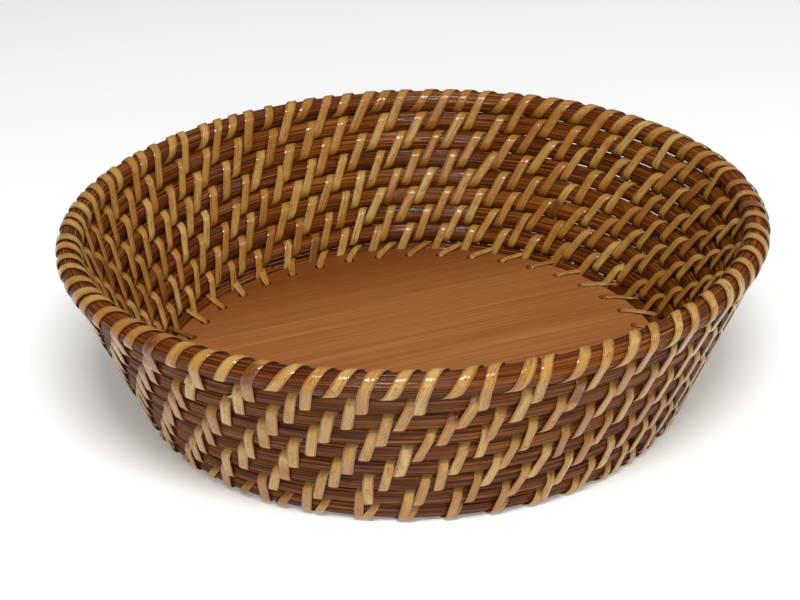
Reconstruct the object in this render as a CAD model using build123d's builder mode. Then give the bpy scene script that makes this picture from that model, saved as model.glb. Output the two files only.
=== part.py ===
"""Oval coiled basket: a drilled floor board, nine rattan rods, one above the other, and cane stitches.

Millimetres. The origin is the centre of the surface that the basket stands on, +X runs along the
longer axis of the oval and +Z is up. Rods are numbered from the floor up, and the rim rod is the last.
"""
from build123d import *
from math import asin, atan2, cos, pi, radians, sin, sqrt
import os

# Driving dimensions
rim_half_length = 150.0     # rim rod's centreline, along X
rim_half_width = 136.0      # rim rod's centreline, along Y
foot_half_length = 119.5    # lowest rod's centreline, along X
foot_half_width = 112.5     # lowest rod's centreline, along Y
core_radius = 4.3           # the eight core rods
rim_radius = 5.1            # the thicker rim rod
rod_gap = 0.75              # space between two rods, filled by the cane that crosses it
cane_thick = 0.65
cane_slack = 0.05           # between the cane and the rod under it
core_rods = 8
stitches = 42               # per row, the same in every row

board_bottom = 2.5
board_thick = 6.0
board_edge_radius = 0.6
hole_radius = 2.4
hole_inset = 7.5            # from the edge of the board to the centre of a lash hole
flat_margin = 1.0           # from the lash holes to the flat that a liner or a pad can cover

cane_width_per_pitch = 0.21    # a cane's width as a share of the stitch pitch in its row
row_offset = 0.5               # where a row's stitches start, in pitches after the row below
short_wrap_offset = 0.5        # a short rim wrap's start, in pitches after that of the long stitch
end_clearance = 0.004          # of a turn, so that two turns of a row stay separate solids

lashing_width = 4.0
lashing_top_bend = 1.2
lashing_bottom_bend = 0.8
lashing_end_gap = 0.2          # inside the hole, between the two ends of one turn

scarf_rise = 14.0              # degrees between a rod's axis and the cut where its two ends meet
scarf_kerf = 0.2
scarf_first = 0.08             # place of the lowest rod's cut, as a share of the way round
scarf_step = 0.19              # and what each next rod adds to it

# Derived heights and places
rim_rod = core_rods + 1
cane_radius = core_radius + cane_slack + cane_thick / 2
foot_height = core_radius + cane_slack + cane_thick
core_pitch = 2 * core_radius + rod_gap
rim_pitch = core_radius + rod_gap + rim_radius
wall_slope_length = (core_rods - 1) * core_pitch + rim_pitch
wall_height = sqrt(wall_slope_length**2 - (rim_half_width - foot_half_width) ** 2)
board_top = board_bottom + board_thick
board_offset = core_radius + rod_gap          # lowest rod's centreline to the board's edge
hole_offset = board_offset + hole_inset       # lowest rod's centreline to a hole's centre
flat_offset = hole_offset + hole_radius + flat_margin


def rod_radius(row):
    return rim_radius if row == rim_rod else core_radius


def rod_oval(row):
    """Half length, half width and height of a rod's centreline."""
    rise = 1.0 if row == rim_rod else (row - 1) * core_pitch / wall_slope_length
    return (
        foot_half_length + rise * (rim_half_length - foot_half_length),
        foot_half_width + rise * (rim_half_width - foot_half_width),
        foot_height + rise * wall_height,
    )


def oval_centre_shift(half_length, half_width):
    """How far the centres of a four-arc oval, with arcs that meet at 45 degrees, lie from its middle."""
    return (half_length - half_width) / (2 - sqrt(2))


def oval_outline(half_length, half_width):
    """Four tangent arcs, drawn in the open BuildLine."""
    shift = oval_centre_shift(half_length, half_width)
    CenterArc((shift, 0), half_length - shift, -45, 90)
    CenterArc((0, -shift), half_width + shift, 45, 90)
    CenterArc((-shift, 0), half_length - shift, 135, 90)
    CenterArc((0, shift), half_width + shift, 225, 90)


def oval_length(half_length, half_width):
    return pi * (half_length + half_width)


def rod_place(row, fraction):
    """Point on a rod's centreline and the outward direction there, after a fraction of the way round.

    The way round starts on +X and runs anticlockwise, seen from above.
    """
    half_length, half_width, height = rod_oval(row)
    shift = oval_centre_shift(half_length, half_width)
    end_radius = half_length - shift
    side_radius = half_width + shift
    arcs = [
        (shift, 0, end_radius, 0, 45),
        (0, -shift, side_radius, 45, 90),
        (-shift, 0, end_radius, 135, 90),
        (0, shift, side_radius, 225, 90),
        (shift, 0, end_radius, 315, 45),
    ]
    left = (fraction % 1.0) * oval_length(half_length, half_width)
    for centre_x, centre_y, radius, start, turn in arcs:
        arc_length = radius * radians(turn)
        if left <= arc_length:
            break
        left -= arc_length
    else:
        left = arc_length       # rounding had carried it past the end of the last arc
    angle = radians(start) + left / radius
    outward = Vector(cos(angle), sin(angle), 0)
    return Vector(centre_x, centre_y, height) + outward * radius, outward


def turn_stations(low_row, high_row):
    """Stations of one turn round one or two rods: (row, angle round the rod, share of the turn).

    Angle 0 faces into the basket and 90 points up the wall. The turn starts under the low rod, climbs
    the inside, crosses over the high rod and comes down the outside.
    """
    stations = [(low_row, angle) for angle in (-90, -60, -30)]
    if high_row != low_row:
        stations.append((low_row, 0))
    stations += [(high_row, angle) for angle in range(0, 181, 30)]
    if high_row != low_row:
        stations.append((low_row, 180))
    stations += [(low_row, angle) for angle in (210, 240, 270)]
    travelled = [0.0]
    for (row_a, angle_a), (row_b, angle_b) in zip(stations, stations[1:]):
        if row_a != row_b:
            step = rim_pitch if rim_rod in (row_a, row_b) else core_pitch
        else:
            step = radians(angle_b - angle_a) * (rod_radius(row_a) + cane_slack + cane_thick / 2)
        travelled.append(travelled[-1] + step)
    return [(row, angle, way / travelled[-1]) for (row, angle), way in zip(stations, travelled)]


def cane_centre(low_row, high_row, row, angle, fraction):
    """Middle of the cane at one station, and the direction in which its outer face looks."""
    low_point, outward = rod_place(low_row, fraction)
    high_point, _ = rod_place(high_row, fraction)
    if high_row == low_row:
        below_point, _ = rod_place(low_row - 1, fraction)
        up_wall = (low_point - below_point).normalized()
    else:
        up_wall = (high_point - low_point).normalized()
    tangent = Vector(-outward.Y, outward.X, 0)
    inward = tangent.cross(up_wall).normalized() * -1
    if inward.dot(outward) > 0:
        inward = inward * -1
    face_normal = inward * cos(radians(angle)) + up_wall * sin(radians(angle))
    rod_point = high_point if row == high_row else low_point
    reach = rod_radius(row) + cane_slack + cane_thick / 2
    return rod_point + face_normal * reach, face_normal


def cane_turn(low_row, high_row, start):
    """One turn of cane as a solid, one pitch long. start is its place round the row, in pitches."""
    width = cane_width_per_pitch * oval_length(*rod_oval(high_row)[:2]) / stitches
    stations = []
    for row, angle, share in turn_stations(low_row, high_row):
        share = end_clearance + share * (1 - 2 * end_clearance)
        fraction = (start - share) / stitches
        stations.append(cane_centre(low_row, high_row, row, angle, fraction))
    last = len(stations) - 1
    with BuildPart() as turn:
        for index, (centre, face_normal) in enumerate(stations):
            before = stations[max(index - 1, 0)][0]
            after = stations[min(index + 1, last)][0]
            along = (after - before).normalized()
            along = (along - face_normal * along.dot(face_normal)).normalized()
            across = face_normal.cross(along)
            with BuildSketch(Plane(origin=centre, x_dir=across, z_dir=along)):
                Rectangle(width, cane_thick)
        loft()
    return turn.part


def lashing_plane(fraction):
    """Upright plane through a lash hole: x points outward from under the lowest rod, y is up."""
    rod_point, outward = rod_place(1, fraction)
    across = outward.cross(Vector(0, 0, 1))
    return Plane(origin=(rod_point.X, rod_point.Y, 0), x_dir=outward, z_dir=across)


def lashing_touch(rise):
    """Offset from the lowest rod's centre to where a straight run meets the cane's path round the rod.

    The run comes from a mouth of the lash hole that lies rise above, or below, the rod's centre.
    """
    distance = sqrt(hole_offset**2 + rise**2)
    slope = asin(cane_radius / distance) - atan2(rise, hole_offset)
    return -cane_radius * sin(slope), cane_radius * cos(slope)


def lashing_route():
    """Middle line of one lashing turn, drawn in the open BuildLine, in the plane of lashing_plane.

    It comes up through the hole, lies over the lowest rod, goes down its outside and back under it.
    """
    mid_height = board_bottom + board_thick / 2
    top_mouth = board_top + cane_slack + cane_thick / 2
    low_mouth = board_bottom - cane_slack - cane_thick / 2
    top_x, top_rise = lashing_touch(top_mouth - foot_height)
    low_x, low_drop = lashing_touch(foot_height - low_mouth)
    top_touch = (top_x, foot_height + top_rise)
    low_touch = (low_x, foot_height - low_drop)
    FilletPolyline(
        (-hole_offset, mid_height + lashing_end_gap / 2),
        (-hole_offset, top_mouth),
        top_touch,
        radius=lashing_top_bend,
    )
    ThreePointArc(top_touch, (cane_radius, foot_height), low_touch)
    FilletPolyline(
        low_touch,
        (-hole_offset, low_mouth),
        (-hole_offset, mid_height - lashing_end_gap / 2),
        radius=lashing_bottom_bend,
    )


os.makedirs("parts", exist_ok=True)

# Floor board, with one hole for each turn of the lashing
hole_points = []
for stitch in range(stitches):
    rod_point, outward = rod_place(1, stitch / stitches)
    hole_point = rod_point - outward * hole_offset
    hole_points.append((hole_point.X, hole_point.Y, board_top))

with BuildPart() as drilled_board:
    with BuildSketch(Plane.XY.offset(board_bottom)):
        with BuildLine():
            oval_outline(foot_half_length - board_offset, foot_half_width - board_offset)
        make_face()
    extrude(amount=board_thick)
    fillet(drilled_board.faces().filter_by(Axis.Z).edges(), board_edge_radius)
    with Locations(*hole_points):
        Hole(radius=hole_radius)

# The flat inside the lashing is a face of its own on both sides: unlike the rest, nothing lies over it
board_faces = drilled_board.faces().filter_by(Axis.Z, reverse=True)
for side in drilled_board.faces().filter_by(Axis.Z):
    with BuildLine(Plane.XY.offset(side.center().Z)) as flat_outline:
        oval_outline(foot_half_length - flat_offset, foot_half_width - flat_offset)
    board_faces += side.split_by_perimeter(flat_outline.wire(), Keep.BOTH)
base_board = Solid(Shell(board_faces))
base_board.label = "base_board"
export_step(base_board, "parts/base_board.step")

# Rods: each is bent into a hoop, and its two ends meet in a long slanting cut under the stitches
for row in range(1, rim_rod + 1):
    half_length, half_width, height = rod_oval(row)
    radius = rod_radius(row)
    cut_point, cut_outward = rod_place(row, scarf_first + row * scarf_step)
    cut_plane = Plane(origin=cut_point, x_dir=cut_outward, z_dir=Vector(0, 0, 1))
    with BuildPart() as rod:
        with BuildLine(Plane.XY.offset(height)) as centreline:
            oval_outline(half_length, half_width)
        with BuildSketch(Plane(origin=centreline.line @ 0, z_dir=centreline.line % 0)):
            Circle(radius)
        sweep()
        with Locations(cut_plane.rotated((scarf_rise, 0, 0))):
            Box(4 * radius, 12 * radius, scarf_kerf, mode=Mode.SUBTRACT)
    name = "rim_rod" if row == rim_rod else f"core_rod_{row}"
    rod.part.label = name
    export_step(rod.part, f"parts/{name}.step")

# Lashing that ties the lowest rod to the board
with BuildPart() as base_lashing:
    for stitch in range(stitches):
        with BuildSketch(lashing_plane(stitch / stitches)):
            with BuildLine():
                lashing_route()
            trace(line_width=cane_thick)
    extrude(amount=lashing_width / 2, both=True)
base_lashing.part.label = "base_lashing"
export_step(base_lashing.part, "parts/base_lashing.step")

# Stitches: each turn goes round its own rod and the rod below it
for row in range(2, rim_rod + 1):
    row_start = (row - 1) * row_offset
    turns = [cane_turn(row - 1, row, row_start + stitch) for stitch in range(stitches)]
    row_stitches = Compound(turns)
    name = "rim_long_stitches" if row == rim_rod else f"stitches_row_{row}"
    row_stitches.label = name
    export_step(row_stitches, f"parts/{name}.step")

# Short wraps round the rim rod alone, midway between its long stitches
wrap_start = (rim_rod - 1) * row_offset - short_wrap_offset
wraps = [cane_turn(rim_rod, rim_rod, wrap_start + stitch) for stitch in range(stitches)]
rim_short_wraps = Compound(wraps)
rim_short_wraps.label = "rim_short_wraps"
export_step(rim_short_wraps, "parts/rim_short_wraps.step")
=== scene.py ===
"""Looks of an oval coiled basket: stained rattan rods, lacquered cane strips and a wooden floor board.

Metres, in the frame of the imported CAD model. Rods, rows and the board take their sizes from its nodes.
A place round the basket is a fraction of the way round, from +X, anticlockwise seen from above.
"""
import math

import bpy
import numpy as np
from mathutils import Matrix, Vector


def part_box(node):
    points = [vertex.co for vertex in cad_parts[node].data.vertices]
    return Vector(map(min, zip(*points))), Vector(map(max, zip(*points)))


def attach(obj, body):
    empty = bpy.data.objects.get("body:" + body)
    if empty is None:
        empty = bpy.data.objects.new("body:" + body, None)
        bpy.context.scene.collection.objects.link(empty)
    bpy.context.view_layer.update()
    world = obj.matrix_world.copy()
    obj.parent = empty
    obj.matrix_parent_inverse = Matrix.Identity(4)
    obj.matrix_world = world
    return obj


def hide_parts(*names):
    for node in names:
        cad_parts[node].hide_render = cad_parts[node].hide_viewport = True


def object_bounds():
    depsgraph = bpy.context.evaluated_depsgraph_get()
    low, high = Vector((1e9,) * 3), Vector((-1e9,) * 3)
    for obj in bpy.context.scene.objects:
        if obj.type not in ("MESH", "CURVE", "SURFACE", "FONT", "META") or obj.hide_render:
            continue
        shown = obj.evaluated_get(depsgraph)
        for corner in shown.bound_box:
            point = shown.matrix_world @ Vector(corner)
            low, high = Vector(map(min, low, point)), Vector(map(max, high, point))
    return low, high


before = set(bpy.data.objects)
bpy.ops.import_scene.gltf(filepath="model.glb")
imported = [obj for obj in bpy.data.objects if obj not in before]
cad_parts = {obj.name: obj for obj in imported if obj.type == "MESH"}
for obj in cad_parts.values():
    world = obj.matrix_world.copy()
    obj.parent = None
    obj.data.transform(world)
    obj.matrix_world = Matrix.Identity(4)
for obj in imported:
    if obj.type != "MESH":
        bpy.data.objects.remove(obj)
cad_low, cad_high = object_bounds()

MM = 0.001
FULL_TURN = 2 * math.pi
UP = np.array([0.0, 0.0, 1.0])

CORE_RODS = 8
RIM = CORE_RODS + 1
STITCHES = 42
ROW_OFFSET = 0.4            # a row starts this many pitches after the row below
OFFSET_SWING = 0.06         # and this much more where the stitches crowd, or less opposite
CROWDING = 0.075            # share by which stitches crowd at CROWDED_PLACE and thin out opposite
CROWDED_PLACE = 0.19


# ---------------------------------------------------------------- rods and places on them
class Rod:
    """A rod's size and place, read from its CAD node."""

    def __init__(self, node):
        low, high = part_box(node)
        self.radius = (high.z - low.z) / 2
        self.height = (high.z + low.z) / 2
        self.half_length = (high.x - low.x) / 2 - self.radius
        self.half_width = (high.y - low.y) / 2 - self.radius
        self.length = math.pi * (self.half_length + self.half_width)

    def place(self, fraction):
        """Points on the centreline, a four-arc oval, and the outward directions there."""
        shift = (self.half_length - self.half_width) / (2 - math.sqrt(2))
        end, side = self.half_length - shift, self.half_width + shift
        radius = np.array([end, side, end, side, end])
        start = np.radians([0.0, 45.0, 135.0, 225.0, 315.0])
        turn = np.radians([45.0, 90.0, 90.0, 90.0, 45.0])
        centre = np.array([[shift, 0], [0, -shift], [-shift, 0], [0, shift], [shift, 0]])
        ends = np.cumsum(radius * turn)
        way = np.mod(fraction, 1.0) * self.length
        arc = np.minimum(np.searchsorted(ends, way, side="right"), len(ends) - 1)
        before = np.where(arc > 0, ends[arc - 1], 0.0)
        angle = start[arc] + (way - before) / radius[arc]
        outward = np.stack([np.cos(angle), np.sin(angle), np.zeros_like(angle)], -1)
        points = outward * radius[arc][..., None]
        points[..., :2] += centre[arc]
        points[..., 2] = self.height
        return points, outward


board_low, board_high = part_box("base_board")
rod_names = [f"core_rod_{row}" for row in range(1, CORE_RODS + 1)] + ["rim_rod"]
rods = {row: Rod(name) for row, name in enumerate(rod_names, start=1)}


def stitch_place(pitches):
    """Fraction of the way round for a place counted in stitch pitches, which vary round the basket."""
    even = pitches / STITCHES
    return even - CROWDING / FULL_TURN * np.sin(FULL_TURN * (even - CROWDED_PLACE))


def row_start(row, pitches):
    """Where a row's first turn starts, in pitches, for turns that lie about pitches from the start."""
    swing = OFFSET_SWING * np.cos(FULL_TURN * (pitches / STITCHES - CROWDED_PLACE))
    return (row - 1) * (ROW_OFFSET + swing)


# How a strip advances along the basket over one turn: phases in the turn, shares of the pitch, and the
# phase over which the bends are rounded. It advances fastest in the hidden crossings between rods, and
# further inside the basket than outside.
ADVANCE = {
    "wall": ([0.0, 0.04, 0.46, 0.54, 0.96, 1.0], [0.0, 0.09, 0.54, 0.69, 0.90, 1.0], 0.012),
    "rim_long": ([0.0, 0.04, 0.36, 0.64, 0.96, 1.0], [0.0, 0.09, 0.42, 0.78, 0.91, 1.0], 0.05),
    "rim_short": ([0.0, 0.08, 0.92, 1.0], [0.0, 0.12, 0.88, 1.0], 0.03),
}


def advance(kind, phase):
    """Pitches that a strip has advanced after phase turns, as a mean over a few places close together."""
    phases, shares, blur = ADVANCE[kind]
    shifts = (-1.0, -0.5, 0.0, 0.5, 1.0)
    total = 0
    for shift in shifts:
        moved = phase + shift * blur
        total = total + np.floor(moved) + np.interp(moved % 1.0, phases, shares)
    return total / len(shifts)


def unit(vectors):
    return vectors / np.linalg.norm(vectors, axis=-1, keepdims=True)


def way_along(line):
    """Distance from the first point of a line to each of its points."""
    return np.concatenate([[0.0], np.cumsum(np.linalg.norm(np.diff(line, axis=0), axis=1))])


def smooth_noise(count, step, rng, closed=False):
    """Random values between -1 and 1, count of them, that wander smoothly over step values.

    Closed noise ends where it starts, and open noise stops just short of the last knot but one.
    """
    knots = math.ceil(count / step) + 3
    values = rng.uniform(-1, 1, knots)
    if closed:
        values[-2:] = values[:2]
    where = np.linspace(0, knots - (2 if closed else 2.001), count)
    low = np.floor(where).astype(int)
    part = where - low
    part = part * part * (3 - 2 * part)
    return values[low] * (1 - part) + values[low + 1] * part


# ---------------------------------------------------------------- meshes
SHARP_ANGLE = math.radians(50)


class MeshParts:
    """Collects closed tubes into one mesh piece, with grain coordinates and a tone for its material."""

    def __init__(self):
        self.verts, self.faces, self.grain, self.tone, self.count = [], [], [], [], 0

    def add_tube(self, sections, grain, tone):
        """sections is (stations, corners, 3); both ends are closed."""
        stations, corners = sections.shape[:2]
        index = self.count + np.arange(stations * corners).reshape(stations, corners)
        nearer, further = index[:-1], index[1:]
        quads = np.stack(
            [nearer, np.roll(nearer, -1, 1), np.roll(further, -1, 1), further], -1).reshape(-1, 4)
        self.faces += quads.tolist()
        self.faces.append(index[0][::-1].tolist())
        self.faces.append(index[-1].tolist())
        self.verts.append(sections.reshape(-1, 3))
        self.grain.append(grain.reshape(-1, 3))
        self.tone.append(np.broadcast_to(tone[:, None], (stations, corners)).reshape(-1))
        self.count += stations * corners

    def build(self, name, node, slot):
        """Makes the piece that stands for a CAD node, with the material of its slot."""
        mesh = bpy.data.meshes.new(name)
        mesh.from_pydata(np.concatenate(self.verts).tolist(), [], self.faces)
        for layer, kind, key, values in (("grain", "FLOAT_VECTOR", "vector", self.grain),
                                         ("tone", "FLOAT", "value", self.tone)):
            data = np.concatenate(values).astype(np.float32).ravel()
            mesh.attributes.new(layer, kind, "POINT").data.foreach_set(key, data)
        mesh.polygons.foreach_set("use_smooth", [True] * len(mesh.polygons))
        mesh.update()
        mesh.set_sharp_from_angle(angle=SHARP_ANGLE)
        mesh.materials.append(materials[slot])
        piece = bpy.data.objects.new(name, mesh)
        bpy.context.scene.collection.objects.link(piece)
        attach(piece, "root")
        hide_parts(node)
        return piece


# ---------------------------------------------------------------- cane strips
CANE_GAP = 0.03 * MM        # between a rod and the cane on it
CANE_THICK = 0.65 * MM
CANE_HALF_WIDTH = 2.1 * MM

# Cross-section of split cane: flat below, crowned and glossy above, as shares of width and thickness
CANE_ACROSS = np.array([-0.46, -0.5, -0.43, -0.25, 0.0, 0.25, 0.43, 0.5, 0.46, 0.0])
CANE_UP = np.array([0.04, 0.42, 0.78, 0.96, 1.0, 0.96, 0.78, 0.42, 0.04, 0.0])

TURN_STATIONS = 46
PLACE_JITTER = 0.06                 # pitches
WIDTH_SPREAD = 0.08                 # of each turn, as a share of the row's width
WIDTH_LEAST, WIDTH_MOST = 0.72, 1.12
# Ripples along a strip, each with the stations over which it wanders
WIDTH_RIPPLE, WIDTH_RIPPLE_STEP = 0.035, 7
LIFT, LIFT_STEP = 0.03 * MM, 9
TWIST, TWIST_STEP = np.radians(3.0), 11
TONE_RIPPLE, TONE_RIPPLE_STEP = 0.10, 20

TONE_SHAPE = (2.4, 1.9)             # beta distribution
TURNS_PER_DARK_STRETCH = 12
DARK_HALF_LENGTH = (0.05, 0.22)     # turns
DARK_DEPTH = (0.5, 0.9)
DARK_FADE = 1.5                     # half lengths from the middle to where the stretch ends


def cane_ribbon(parts, line, face_normal, width, tone, lift, twist):
    """Adds a strip along line, which has one point, outward face normal and width per station."""
    along = unit(np.gradient(line, axis=0))
    across = unit(np.cross(face_normal, along))
    up = np.cross(along, across)
    turned_across = across * np.cos(twist)[:, None] + up * np.sin(twist)[:, None]
    turned_up = up * np.cos(twist)[:, None] - across * np.sin(twist)[:, None]
    side = CANE_ACROSS[None, :] * width[:, None]
    rise = CANE_UP[None, :] * CANE_THICK + CANE_GAP + lift[:, None]
    sections = line[:, None] + turned_across[:, None] * side[..., None] + turned_up[:, None] * rise[..., None]
    grain = np.stack([np.broadcast_to(way_along(line)[:, None], side.shape), side, rise], -1)
    parts.add_tube(sections, grain, tone)


def wrap_stations(low, high):
    """One turn round one or two rods, from under the low one: share of the way from the low rod to the
    high one, angle round the rod (0 faces into the basket, 90 degrees up the wall)."""
    if low is high:
        angle = np.radians(np.linspace(-90, 270, TURN_STATIONS, endpoint=False))
        return np.zeros(TURN_STATIONS), angle
    quarter = (low.radius + CANE_GAP) * math.pi / 2
    crest = (high.radius + CANE_GAP) * math.pi
    leg = math.hypot(high.half_width - low.half_width, high.height - low.height)
    ends = np.cumsum([0.0, quarter, leg, crest, leg, quarter])
    way = np.arange(TURN_STATIONS) / TURN_STATIONS * ends[-1]
    mix = np.interp(way, ends, [0, 0, 1, 1, 0, 0])
    angle = np.interp(way, ends, np.radians([-90, 0, 0, 180, 180, 270]))
    return mix, angle


def cane_tone(phase, turns, rng):
    """Tone along a strip, 0 dark to 1 pale: it changes from turn to turn, with a few dark stretches."""
    tone = np.interp(phase, np.arange(turns + 1), rng.beta(*TONE_SHAPE, turns + 1))
    tone += TONE_RIPPLE * smooth_noise(len(phase), TONE_RIPPLE_STEP, rng)
    for _ in range(turns // TURNS_PER_DARK_STRETCH):
        middle, half = rng.uniform(0, turns), rng.uniform(*DARK_HALF_LENGTH)
        depth = rng.uniform(*DARK_DEPTH)
        tone -= depth * np.clip(DARK_FADE - np.abs(phase - middle) / half, 0, 1)
    return tone.clip(0.0, 1.0)


def stitch_row(parts, low, high, row, width, seed, kind="wall", below=None, start=0.0, turns=STITCHES):
    """Adds the cane of one row: a strip wound round its rods, one turn per pitch, as one long ribbon.

    start moves the whole row on by so many pitches, and below is the rod under a single wrapped rod.
    """
    rng = np.random.default_rng(seed)
    count = turns * TURN_STATIONS + 1
    station = np.arange(count)
    phase = station / TURN_STATIONS
    turn_mix, turn_angle = wrap_stations(low, high)
    mix = turn_mix[station % TURN_STATIONS]
    angle = turn_angle[station % TURN_STATIONS]
    # Crossings under the low rod and over the high rod wander, and the legs between them follow
    half_turns = np.arange(2 * turns + 1)
    wander = np.interp(phase * 2, half_turns, rng.normal(0, PLACE_JITTER, len(half_turns)))
    place = start - advance(kind, phase) + wander
    fraction = stitch_place(row_start(row, place) + place)
    low_points, outward = low.place(fraction)
    high_points, _ = high.place(fraction)
    foot = low_points if low is not high else below.place(fraction)[0]
    up_wall = unit(high_points - foot)
    inward = -unit(outward - up_wall * (outward * up_wall).sum(-1, keepdims=True))
    face_normal = inward * np.cos(angle)[:, None] + up_wall * np.sin(angle)[:, None]
    radius = low.radius + (high.radius - low.radius) * mix
    line = low_points + (high_points - low_points) * mix[:, None] + face_normal * radius[:, None]
    turn_width = rng.normal(1.0, WIDTH_SPREAD, turns).clip(WIDTH_LEAST, WIDTH_MOST)
    widths = width * np.interp(phase, np.arange(turns) + 0.5, turn_width)
    widths *= 1 + WIDTH_RIPPLE * smooth_noise(count, WIDTH_RIPPLE_STEP, rng)
    lift = LIFT * (1 + smooth_noise(count, LIFT_STEP, rng))
    twist = TWIST * smooth_noise(count, TWIST_STEP, rng)
    tone = cane_tone(phase, turns, rng)
    cane_ribbon(parts, line, face_normal, widths, tone, lift, twist)


# ---------------------------------------------------------------- materials
def srgb(red, green, blue):
    """Linear colour from 0 to 255 values as a screen shows them."""
    def channel(value):
        value /= 255
        return value / 12.92 if value <= 0.04045 else ((value + 0.055) / 1.055) ** 2.4
    return (channel(red), channel(green), channel(blue), 1.0)


class Shader:
    """Adds nodes to one material and joins them. Colours in ramps and tints are screen values to 255."""

    # Sockets of a Mix node for colours
    MIX_SHARE, MIX_FIRST, MIX_SECOND, MIX_RESULT = 0, 6, 7, 2

    def __init__(self, name):
        self.material = bpy.data.materials.new(name)
        self.material.use_nodes = True
        self.tree = self.material.node_tree
        self.surface = self.tree.nodes["Principled BSDF"]

    def put(self, socket, value):
        if isinstance(value, bpy.types.NodeSocket):
            self.tree.links.new(value, socket)
        else:
            socket.default_value = value

    def node(self, kind, **inputs):
        made = self.tree.nodes.new(kind)
        for key, value in inputs.items():
            self.put(made.inputs[key], value)
        return made

    def set_surface(self, **inputs):
        for key, value in inputs.items():
            self.put(self.surface.inputs[key.replace("_", " ")], value)

    def set_gloss(self, coat, coat_roughness, specular):
        """A clear coat over the surface, and how much the surface under it shines."""
        self.set_surface(Coat_Weight=coat, Coat_Roughness=coat_roughness, Specular_IOR_Level=specular)

    def attribute(self, name, output):
        made = self.tree.nodes.new("ShaderNodeAttribute")
        made.attribute_name = name
        return made.outputs[output]

    def math(self, operation, first, second=0.0):
        made = self.tree.nodes.new("ShaderNodeMath")
        made.operation = operation
        self.put(made.inputs[0], first)
        self.put(made.inputs[1], second)
        return made.outputs[0]

    def noise(self, place, cells, detail=3.0, roughness=0.55):
        """Noise from 0 to 1, with so many cells per metre along each axis of place."""
        scaled = self.tree.nodes.new("ShaderNodeVectorMath")
        scaled.operation = "MULTIPLY"
        self.put(scaled.inputs[0], place)
        scaled.inputs[1].default_value = cells
        made = self.node("ShaderNodeTexNoise", Vector=scaled.outputs[0], Scale=1.0, Detail=detail,
                         Roughness=roughness)
        return made.outputs["Fac"]

    def ramp(self, value, stops):
        """stops is a list of (position, colour or grey value)."""
        made = self.tree.nodes.new("ShaderNodeValToRGB")
        elements = made.color_ramp.elements
        while len(elements) < len(stops):
            elements.new(0.5)
        for element, (position, colour) in zip(elements, stops):
            element.position = position
            grey = isinstance(colour, (int, float))
            element.color = (colour, colour, colour, 1.0) if grey else srgb(*colour)
        self.put(made.inputs[0], value)
        return made.outputs[0]

    def tint(self, base, share, colour):
        """base with a share of a plain colour mixed in."""
        made = self.tree.nodes.new("ShaderNodeMix")
        made.data_type = "RGBA"
        self.put(made.inputs[self.MIX_SHARE], share)
        self.put(made.inputs[self.MIX_FIRST], base)
        self.put(made.inputs[self.MIX_SECOND], srgb(*colour))
        return made.outputs[self.MIX_RESULT]

    def bump(self, height, strength, distance, normal=None):
        made = self.node("ShaderNodeBump", Height=height, Strength=strength, Distance=distance)
        if normal is not None:
            self.put(made.inputs["Normal"], normal)
        return made.outputs[0]


def cane_material():
    """Lacquered cane: straw to golden brown, with fibres, blotches, flecks, splits and darker joints."""
    shader = Shader("cane")
    grain = shader.attribute("grain", "Vector")
    tone = shader.attribute("tone", "Fac")
    fibres = shader.noise(grain, (45, 3200, 3200), detail=2.0)
    clouds = shader.noise(grain, (80, 240, 240))
    blotches = shader.noise(grain, (190, 520, 520), roughness=0.6)
    patches = shader.noise(grain, (150, 150, 150), detail=1.0)
    spots = shader.noise(grain, (520, 1100, 1100), detail=1.0)
    flecks = shader.math("ADD", spots, shader.math("MULTIPLY", patches, 0.25))
    joints = shader.noise(grain, (38, 25, 25), detail=1.0)
    seams = shader.noise(grain, (16, 1300, 300), detail=0.0)
    cracks = shader.ramp(seams, [(0.73, 0.0), (0.765, 1.0), (0.80, 0.0)])
    side = shader.node("ShaderNodeSeparateXYZ", Vector=grain).outputs["Y"]
    edge = shader.math("MULTIPLY", shader.math("ABSOLUTE", side), 1 / CANE_HALF_WIDTH)
    ragged_edge = shader.math("ADD", edge, shader.math("MULTIPLY", clouds, 0.4))

    colour = shader.ramp(tone, [(0.0, (96, 52, 16)), (0.14, (136, 84, 30)), (0.36, (162, 114, 48)),
                                (0.62, (177, 138, 68)), (1.0, (196, 168, 104))])
    colour = shader.tint(colour, shader.ramp(clouds, [(0.42, 0.0), (0.68, 0.6)]), (156, 98, 36))
    colour = shader.tint(colour, shader.ramp(fibres, [(0.34, 0.35), (0.56, 0.0)]), (128, 80, 36))
    colour = shader.tint(colour, shader.ramp(ragged_edge, [(0.92, 0.0), (1.0, 0.6)]), (120, 68, 24))
    colour = shader.tint(colour, shader.ramp(blotches, [(0.54, 0.0), (0.66, 0.6)]), (150, 88, 34))
    colour = shader.tint(colour, shader.ramp(flecks, [(0.80, 0.0), (0.86, 0.8)]), (108, 56, 18))
    dark_joints = shader.ramp(joints, [(0.70, 0.0), (0.74, 0.85), (0.78, 0.1)])
    colour = shader.tint(colour, dark_joints, (84, 42, 18))
    colour = shader.tint(colour, shader.math("MULTIPLY", cracks, 0.85), (62, 30, 12))

    unevenness = shader.math("SUBTRACT", clouds, cracks)
    fine = shader.bump(fibres, 0.5, 0.10 * MM)
    grooved = shader.bump(unevenness, 0.5, 0.28 * MM, fine)
    pitted = shader.bump(flecks, 0.8, 0.30 * MM, shader.bump(unevenness, 0.6, 0.5 * MM))
    roughness = shader.ramp(clouds, [(0.3, 0.25), (0.7, 0.42)])
    shader.set_surface(Base_Color=colour, Roughness=roughness, Normal=grooved, Coat_Normal=pitted)
    shader.set_gloss(coat=0.7, coat_roughness=0.07, specular=0.1)
    return shader.material


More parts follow.
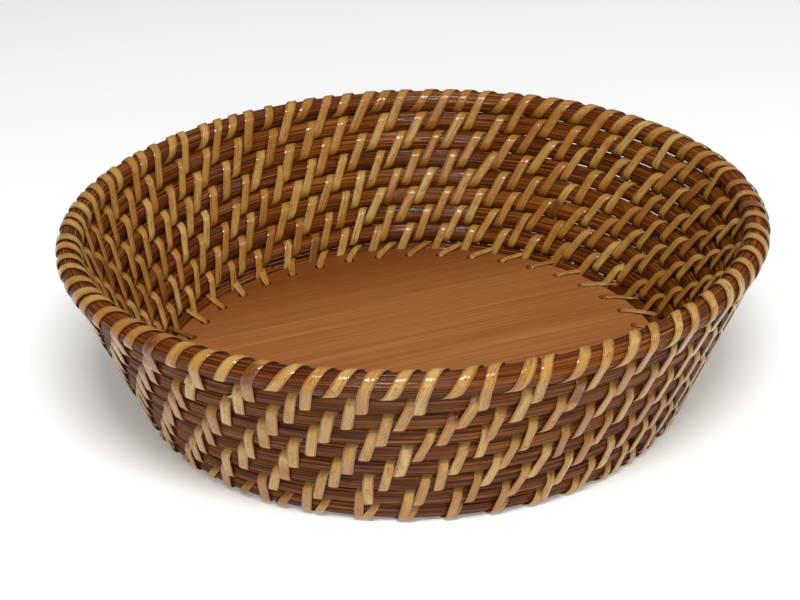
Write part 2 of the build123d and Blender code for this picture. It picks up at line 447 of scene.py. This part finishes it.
def rattan_material():
    """Stained round rattan: dark red-brown, with long fibres that catch the light as thin lines."""
    shader = Shader("stained_rattan")
    grain = shader.attribute("grain", "Vector")
    tone = shader.attribute("tone", "Fac")
    fibres = shader.noise(grain, (14, 1700, 1700), roughness=0.6)
    fine = shader.noise(grain, (60, 3000, 3000), detail=1.0)
    clouds = shader.noise(grain, (14, 120, 120))
    ridges = shader.noise(grain, (16, 1200, 1200), detail=0.0)

    colour = shader.ramp(clouds, [(0.28, (84, 34, 4)), (0.5, (112, 55, 12)), (0.72, (136, 77, 24))])
    colour = shader.tint(colour, shader.math("MULTIPLY", tone, 0.55), (68, 28, 6))
    colour = shader.tint(colour, shader.ramp(fibres, [(0.37, 0.95), (0.51, 0.0)]), (42, 16, 2))
    colour = shader.tint(colour, shader.ramp(fibres, [(0.55, 0.0), (0.68, 0.75)]), (160, 98, 40))

    fibrous = shader.bump(fine, 0.6, 0.10 * MM, shader.bump(fibres, 0.8, 0.6 * MM))
    ridged = shader.bump(ridges, 1.0, 0.8 * MM)
    roughness = shader.ramp(fibres, [(0.3, 0.7), (0.7, 0.45)])
    shader.set_surface(Base_Color=colour, Roughness=roughness, Normal=fibrous, Coat_Normal=ridged)
    shader.set_gloss(coat=0.26, coat_roughness=0.06, specular=0.03)
    return shader.material


def board_material():
    """Satin board of pale wood strips: long straight grain along X, and painted shade that darkens it towards
    the +Y edge.
    """
    shader = Shader("floor_board")
    place = shader.node("ShaderNodeTexCoord").outputs["Object"]
    streaks = shader.noise(place, (5, 800, 60), detail=4.0, roughness=0.7)
    fine = shader.noise(place, (9, 1300, 120), detail=2.0)
    bands = shader.noise(place, (1.2, 60, 10), detail=2.0)
    across = shader.node("ShaderNodeSeparateXYZ", Vector=place).outputs["Y"]
    side = shader.math("MULTIPLY", across, 1 / board_high.y)

    colour = shader.ramp(streaks, [(0.25, (134, 79, 37)), (0.5, (158, 99, 52)), (0.75, (174, 117, 67))])
    colour = shader.tint(colour, shader.ramp(bands, [(0.35, 0.5), (0.65, 0.0)]), (148, 84, 36))
    colour = shader.tint(colour, shader.ramp(fine, [(0.34, 0.6), (0.5, 0.0)]), (118, 64, 26))
    # Painted shade: the colour darkens towards the +Y edge, where the wall shades the board
    colour = shader.tint(colour, shader.ramp(side, [(0.4, 0.0), (0.85, 0.85)]), (104, 54, 8))

    roughness = shader.ramp(streaks, [(0.3, 0.56), (0.7, 0.46)])
    shader.set_surface(Base_Color=colour, Roughness=roughness, Normal=shader.bump(fine, 0.3, 0.08 * MM))
    shader.set_gloss(coat=0.05, coat_roughness=0.35, specular=0.2)
    return shader.material


materials = {"cane": cane_material(), "stained_rattan": rattan_material(), "floor_board": board_material()}


# ---------------------------------------------------------------- the board keeps its CAD mesh
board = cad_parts["base_board"]
board.data.materials.clear()
board.data.materials.append(materials["floor_board"])


# ---------------------------------------------------------------- rods
ROD_SEED = 300
ROD_CORNERS = 60
ROD_STEP = 2.0 * MM
ROD_SKIN = 0.02 * MM         # taken off the radius
ROD_SQUASH = 0.095           # pulled tight by the stitches, a core rod is this much taller up the wall
ROD_PULL = {1: (-0.42 * MM, 0.0), CORE_RODS: (0.0, 0.12 * MM), RIM: (0.0, -0.3 * MM)}    # outward and up
# Unevenness along a rod, each with the stations over which it wanders
ROD_UNEVEN, ROD_UNEVEN_STEP = 0.010, 25
ROD_WANDER, ROD_WANDER_STEP = 0.08 * MM, 30
ROD_TONE_STEP = 60
RIDGE_ORDERS = (5, 9, 14, 19)    # ridges round the rod
RIDGE_HEIGHT = 0.004             # share of the radius
RIDGE_SHARES = (0.3, 1.0)
RIDGE_PHASE = 6.3                # radians, about a full turn
GRAIN_SHIFT = 3.0                # from one rod's grain to the next rod's
WALL_LEAN = math.atan2(rods[RIM].half_width - rods[1].half_width, rods[RIM].height - rods[1].height)

SCARF_SLOPE = math.radians(14)
SCARF_FIRST, SCARF_STEP = 0.08, 0.19      # places of the cuts, as fractions of the way round
SCARF_KERF = 0.12 * MM
SCARF_FADE = 90 * MM


def bent_rod(row):
    """One rod: a hoop with slightly uneven thickness, whose ends meet in a long slanting cut."""
    rod = rods[row]
    rng = np.random.default_rng(ROD_SEED + row)
    count = int(rod.length / ROD_STEP)
    cut = SCARF_FIRST + row * SCARF_STEP
    way = np.linspace(0, rod.length - SCARF_KERF, count)
    angle = np.linspace(0, FULL_TURN, ROD_CORNERS, endpoint=False)
    thick = 1 + ROD_UNEVEN * smooth_noise(count, ROD_UNEVEN_STEP, rng, closed=True)
    ridges = sum(rng.uniform(*RIDGE_SHARES) * np.cos(order * angle + rng.uniform(0, RIDGE_PHASE))
                 for order in RIDGE_ORDERS)
    tall = 0.0 if row == RIM else ROD_SQUASH
    squash = 1 - tall * np.cos(2 * (angle + WALL_LEAN))
    section_radius = rod.radius * thick[:, None] * squash * (1 + RIDGE_HEIGHT * ridges) - ROD_SKIN
    # The two ends are sheared so that their faces lie on one slanting plane
    slant = rod.radius * np.sin(angle)[None, :] / math.tan(SCARF_SLOPE)
    near_start = np.clip(1 - way / SCARF_FADE, 0, 1)[:, None]
    near_end = np.clip(1 - (rod.length - way) / SCARF_FADE, 0, 1)[:, None]
    shifted = way[:, None] + slant * (near_start + near_end)
    points, outward = rod.place(cut + shifted / rod.length)
    if row not in (1, RIM):
        points[..., 2] += ROD_WANDER * smooth_noise(count, ROD_WANDER_STEP, rng, closed=True)[:, None]
    pull_out, pull_up = ROD_PULL.get(row, (0.0, 0.0))
    points = points + outward * pull_out + UP * pull_up
    direction = np.cos(angle)[None, :, None] * outward + np.sin(angle)[None, :, None] * UP
    sections = points + section_radius[..., None] * direction
    grain = np.stack([shifted + GRAIN_SHIFT * row, section_radius * np.cos(angle),
                      section_radius * np.sin(angle)], -1)
    tone = 0.5 + 0.5 * smooth_noise(count, ROD_TONE_STEP, rng)
    parts = MeshParts()
    parts.add_tube(sections[:, ::-1], grain[:, ::-1], tone)
    name = rod_names[row - 1]
    piece = parts.build("rattan_" + name, name, "stained_rattan")


for row in range(1, RIM + 1):
    bent_rod(row)


# ---------------------------------------------------------------- stitches
ROW_SEED, RIM_LONG_SEED, RIM_SHORT_SEED, EXTRA_SEED = 40, 61, 62, 63
SHORT_START = -0.6                       # pitches
EXTRA_START, EXTRA_TURNS = 23.6, 6       # pitches
EXTRA_WIDTH = 0.8
LOW_WIDTH, HIGH_WIDTH = 4.1 * MM, 4.6 * MM


def row_width(row):
    """Cane is a little narrower in the lower rows, where the stitches crowd."""
    return LOW_WIDTH + (HIGH_WIDTH - LOW_WIDTH) * (row - 2) / (RIM - 2)


def cane_piece(parts, name, node):
    piece = parts.build(name, node, "cane")


for row in range(2, CORE_RODS + 1):
    row_cane = MeshParts()
    stitch_row(row_cane, rods[row - 1], rods[row], row, row_width(row), ROW_SEED + row)
    cane_piece(row_cane, f"cane_row_{row}", f"stitches_row_{row}")

long_cane = MeshParts()
stitch_row(long_cane, rods[CORE_RODS], rods[RIM], RIM, row_width(RIM), RIM_LONG_SEED, "rim_long")
cane_piece(long_cane, "cane_rim_long", "rim_long_stitches")

short_cane = MeshParts()
stitch_row(short_cane, rods[RIM], rods[RIM], RIM, row_width(RIM), RIM_SHORT_SEED, "rim_short",
           rods[CORE_RODS], SHORT_START)
# A second strip lies round the uppermost core rod alone, along one stretch of the rim
stitch_row(short_cane, rods[CORE_RODS], rods[CORE_RODS], RIM, EXTRA_WIDTH * row_width(RIM), EXTRA_SEED,
           "rim_short", rods[CORE_RODS - 1], EXTRA_START, EXTRA_TURNS)
cane_piece(short_cane, "cane_rim_short", "rim_short_wraps")


# ---------------------------------------------------------------- lashing
LASH_SEED = 77
HOLE_OFFSET = 12.55 * MM     # lowest rod's centreline to the centre of a lash hole
LASH_STATIONS = 60
LASH_WIDTH = 3.6 * MM
LASH_NARROW = 0.85           # the narrowest turn's share of the width
LASH_LEAN = 0.5              # pitches that a lashing leans between its hole and the rod
LASH_LEAN_SWING = 0.35
LASH_LEAN_PLACE = 0.08       # where it leans most
LASH_LEAN_JITTER = 0.06
LASH_TOP = math.radians(100)     # where it reaches the rod, from the outward direction
LASH_UNDER = -math.pi / 2        # and where it leaves it
OVER_ROD_POINTS, OVER_BOARD_POINTS = 17, 7
OVER_BOARD = (0.15, 0.95)                # first and last share of the way over the board to the rod
UNDER_BOARD = (0.2, 0.45, 0.7, 0.9)      # shares of the way from under the rod to the next hole
MOUTH_GAP = 0.05 * MM

# Bends in millimetres: outward from the hole's centre, and up from the board's upper face at the exit
# or from the lashing's lowest level at the entry
HOLE_EXIT = [(-0.2, -1.2), (0.2, -0.3), (1.0, 0.1)]
OVER_BOARD_START = (1.2, 0.15)
HOLE_ENTRY = [(-0.1, 0.5), (-0.2, 1.6)]

# Distances along one turn, and the share of the width or of the tone at each
LASH_TAPER = ([0, 2 * MM, 5 * MM], [0.7, 0.8, 1.0])
# Painted shade: the lashing's tone is darker in its hole and just out of it
LASH_PAINTED_SHADE = ([2 * MM, 6 * MM], [0.2, 1.0])
LASH_TONE_SHAPE = (2, 2)                 # beta distribution
LASH_BENDS = [0, 0.08, 0.45, 1]          # shares of the way where its sideways course bends
LASH_START = 0.02                        # pitches that it has moved at the first bend


def lash_route(rod):
    """Evenly spaced stations of one turn, up through the hole, over the board and the rod, down outside
    and back under to the next hole: their distances, places outward of the rod's centreline, heights."""
    reach = rod.radius + CANE_GAP
    mouth = board_high.z + MOUTH_GAP
    under = rod.height - reach
    outer = np.linspace(LASH_TOP, LASH_UNDER, OVER_ROD_POINTS)
    over_rod = np.stack([reach * np.cos(outer), rod.height + reach * np.sin(outer)], -1)
    start = np.array([OVER_BOARD_START[0] * MM - HOLE_OFFSET, mouth + OVER_BOARD_START[1] * MM])
    shares = np.linspace(*OVER_BOARD, OVER_BOARD_POINTS)
    route = [(HOLE_EXIT[0][0] * MM - HOLE_OFFSET, (board_low.z + board_high.z) / 2)]
    route += [(out * MM - HOLE_OFFSET, mouth + rise * MM) for out, rise in HOLE_EXIT]
    route += [start + (over_rod[0] - start) * share for share in shares]
    route += list(over_rod)
    route += [(-HOLE_OFFSET * share, under) for share in UNDER_BOARD]
    route += [(out * MM - HOLE_OFFSET, under + rise * MM) for out, rise in HOLE_ENTRY]
    route = np.array(route)
    way = way_along(route)
    even = np.linspace(0, way[-1], LASH_STATIONS)
    return even, np.interp(even, way, route[:, 0]), np.interp(even, way, route[:, 1])


def lashing():
    """Cane that comes up through each hole, lies over the lowest rod, goes down outside and back under."""
    rod = rods[1]
    rng = np.random.default_rng(LASH_SEED)
    way, out, rise = lash_route(rod)
    tangent = unit(np.stack([np.gradient(out), np.gradient(rise)], -1))
    normal = np.stack([-tangent[:, 1], tangent[:, 0]], -1)
    taper = np.interp(way, *LASH_TAPER)
    # Painted shade of the hole, darkening the lashing where it comes out
    painted_hole_shade = np.interp(way, *LASH_PAINTED_SHADE)
    flat = np.zeros(LASH_STATIONS)
    parts = MeshParts()
    for stitch in range(STITCHES):
        fraction = stitch / STITCHES
        # Sideways: nearly straight over the board, then leaning on to the next hole outside and below
        lean = LASH_LEAN + LASH_LEAN_SWING * math.cos(FULL_TURN * (fraction - LASH_LEAN_PLACE))
        lean += rng.normal(0, LASH_LEAN_JITTER)
        sideways = -np.interp(way / way[-1], LASH_BENDS, [0, LASH_START, lean, 1])
        points, outward = rod.place(fraction + sideways / STITCHES)
        line = points + outward * out[:, None]
        line[:, 2] = rise
        face = outward * normal[:, :1] + UP * normal[:, 1:]
        width = LASH_WIDTH * rng.uniform(LASH_NARROW, 1.0) * taper
        tone = rng.beta(*LASH_TONE_SHAPE) * painted_hole_shade
        cane_ribbon(parts, line, face, width, tone, flat, flat)
    cane_piece(parts, "cane_lashing", "base_lashing")


lashing()


# ---------------------------------------------------------------- camera, floor and light
CAMERA_DISTANCE = 0.8135
CAMERA_ELEVATION = math.radians(28.5)
CAMERA_AZIMUTH = math.radians(-23.6)
CAMERA_SIDE, CAMERA_LIFT = -7.2 * MM, 32.9 * MM
LENS, SENSOR_WIDTH = 80.3, 36     # millimetres
NEAREST_SEEN = 0.01

FLOOR_HALF = 3.0
FLOOR_COLOUR = (0.9, 0.9, 0.89, 1)
FLOOR_ROUGHNESS = 0.9
FLOOR_GLOW = 0.16

SKY_COLOUR = (1.0, 0.99, 0.97, 1)
SKY_STRENGTH = 0.24
WHITE, WARM_WHITE = (1, 1, 1), (1.0, 0.99, 0.93)
LIGHT_TARGET = (0, 0, 0.03)
LIGHTS = [    # name, place, size, power in watts, colour
    ("key", (-0.24, -0.56, 1.15), (0.55, 0.2), 14, WHITE),
    ("fill", (-0.6, -1.3, 0.55), (0.9, 0.6), 5.0, WARM_WHITE),
    ("side", (1.2, -0.5, 0.9), (0.7, 0.7), 4, WHITE),
    ("back", (0.3, 0.7, 1.6), (0.8, 0.8), 2, WHITE),
]


def add_camera():
    level = math.cos(CAMERA_ELEVATION)
    back = Vector((math.sin(CAMERA_AZIMUTH) * level, -math.cos(CAMERA_AZIMUTH) * level,
                   math.sin(CAMERA_ELEVATION)))
    right = Vector((math.cos(CAMERA_AZIMUTH), math.sin(CAMERA_AZIMUTH), 0))
    up = back.cross(right)
    data = bpy.data.cameras.new("camera")
    data.lens = LENS
    data.sensor_width = SENSOR_WIDTH
    data.clip_start = NEAREST_SEEN
    camera = bpy.data.objects.new("camera", data)
    bpy.context.scene.collection.objects.link(camera)
    rotation = Matrix((right, up, back)).transposed().to_4x4()
    place = back * CAMERA_DISTANCE + right * CAMERA_SIDE + up * CAMERA_LIFT
    camera.matrix_world = Matrix.Translation(place) @ rotation
    bpy.context.scene.camera = camera


def add_floor():
    """A plain pale floor at the object's lowest point."""
    corners = [(x * FLOOR_HALF, y * FLOOR_HALF, 0) for x, y in ((-1, -1), (1, -1), (1, 1), (-1, 1))]
    mesh = bpy.data.meshes.new("floor")
    mesh.from_pydata(corners, [], [(0, 1, 2, 3)])
    floor = bpy.data.objects.new("floor", mesh)
    floor.location.z = cad_low.z
    bpy.context.scene.collection.objects.link(floor)
    shader = Shader("floor")
    shader.set_surface(Base_Color=FLOOR_COLOUR, Roughness=FLOOR_ROUGHNESS, Emission_Color=(1, 1, 1, 1),
                       Emission_Strength=FLOOR_GLOW)
    mesh.materials.append(shader.material)


def add_world():
    world = bpy.data.worlds.new("world")
    bpy.context.scene.world = world
    world.use_nodes = True
    background = world.node_tree.nodes["Background"]
    background.inputs["Color"].default_value = SKY_COLOUR
    background.inputs["Strength"].default_value = SKY_STRENGTH


def add_light(name, place, size, power, colour):
    data = bpy.data.lights.new(name, "AREA")
    data.shape = "RECTANGLE"
    data.size, data.size_y = size
    data.energy = power
    data.color = colour
    light = bpy.data.objects.new(name, data)
    bpy.context.scene.collection.objects.link(light)
    light.location = place
    light.rotation_euler = (Vector(LIGHT_TARGET) - Vector(place)).to_track_quat("-Z", "Y").to_euler()


add_camera()
add_floor()
add_world()
for light_row in LIGHTS:
    add_light(*light_row)
bpy.context.scene.view_settings.view_transform = "Standard"
